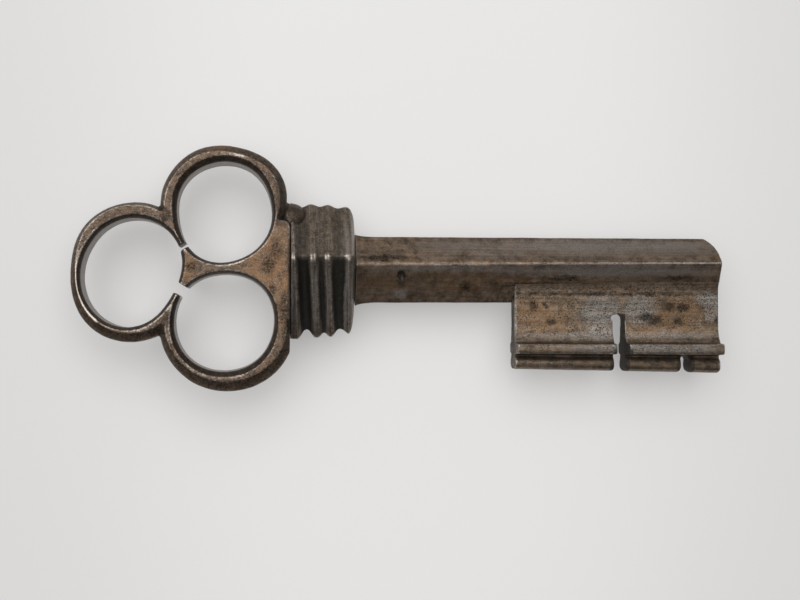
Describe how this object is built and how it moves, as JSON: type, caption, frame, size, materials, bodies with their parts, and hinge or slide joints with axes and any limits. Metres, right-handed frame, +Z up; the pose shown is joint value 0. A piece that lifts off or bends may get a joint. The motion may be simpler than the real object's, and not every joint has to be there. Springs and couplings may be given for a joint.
{
  "type": "key",
  "caption": "Antique steel key with a trefoil ring bow, a ribbed collar, a kite-section pipe shank and a warded bit.",
  "frame": {"origin": "middle of the underside of the key's box, on the surface that the key lies on", "axes": "+X along the shank from the bow to the bit end, +Y away from the bit, +Z up out of the front face"},
  "size_m": [0.1302, 0.0484, 0.0183],
  "materials": {
    "bow_steel": "worn brown patina with bright rubbed edges",
    "collar_steel": "dark brown patina with rubbed rib crests",
    "shank_steel": "worn brown patina with lengthwise file marks",
    "bit_steel": "rubbed steel with brown patches and dark pits"
  },
  "bodies": {
    "root": {"bow": "bow_steel", "collar": "collar_steel", "shank": "shank_steel", "bit": "bit_steel"}
  },
  "joints": []
}
